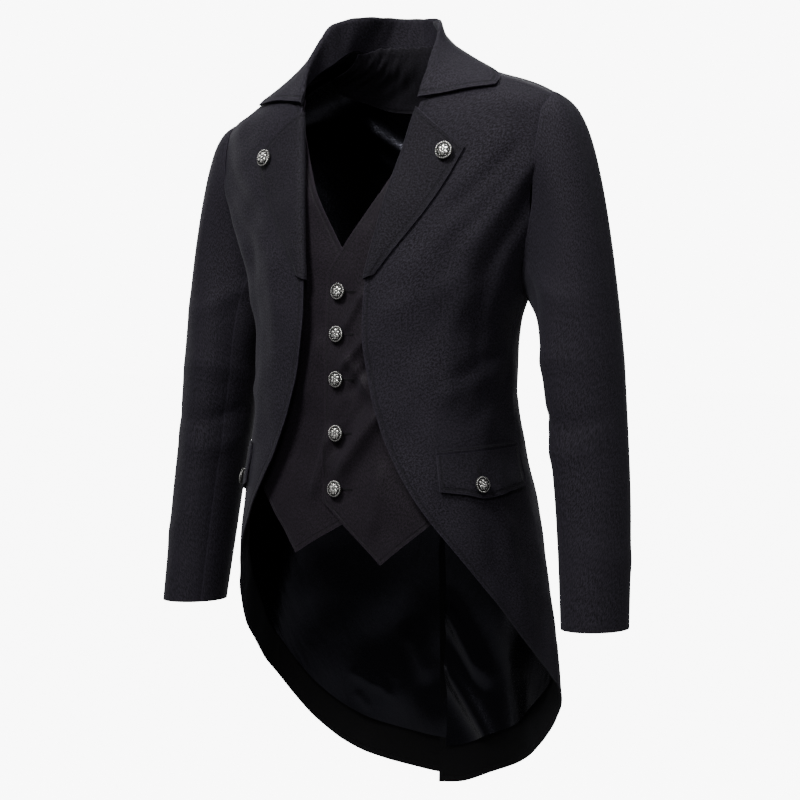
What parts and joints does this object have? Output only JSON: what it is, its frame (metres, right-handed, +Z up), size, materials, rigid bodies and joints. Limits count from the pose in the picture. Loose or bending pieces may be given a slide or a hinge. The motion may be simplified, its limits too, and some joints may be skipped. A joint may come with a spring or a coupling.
{
  "type": "cutaway tailcoat",
  "caption": "Man's black cutaway tailcoat with notched collar, curved fronts, tails with a back vent and a buttoned mock waistcoat, worn in shape and empty.",
  "frame": {"origin": "on the centre line between the sides of the neck, level with the neck seam, where the wearer's neck and shoulders carry the coat", "axes": "+X to the wearer's left, -Y to the wearer's front, +Z up"},
  "size_m": [0.63, 0.2525, 0.9144],
  "materials": {
    "coat_cloth": "matt woven suiting",
    "vest_cloth": "matt woven suiting",
    "satin": "smooth satin lining",
    "silver": "antique silver, cast in relief"
  },
  "bodies": {
    "root": {"back_left": "coat_cloth", "back_right": "coat_cloth", "front_left": "coat_cloth", "front_right": "coat_cloth", "lapel_left": "coat_cloth", "lapel_right": "coat_cloth", "lining_left": "satin", "lining_right": "satin", "vest_left": "vest_cloth", "vest_right": "vest_cloth", "flap_left": "coat_cloth", "flap_right": "coat_cloth", "welt_left": "coat_cloth", "welt_right": "coat_cloth", "sleeve_left_top": "coat_cloth", "sleeve_left_under": "coat_cloth", "sleeve_right_top": "coat_cloth", "sleeve_right_under": "coat_cloth", "neck_facing": "coat_cloth", "collar": "coat_cloth", "vest_button_1": "silver", "vest_button_2": "silver", "vest_button_3": "silver", "vest_button_4": "silver", "vest_button_5": "silver", "lapel_button_left": "silver", "lapel_button_right": "silver", "flap_button_left": "silver", "flap_button_right": "silver"}
  },
  "joints": []
}
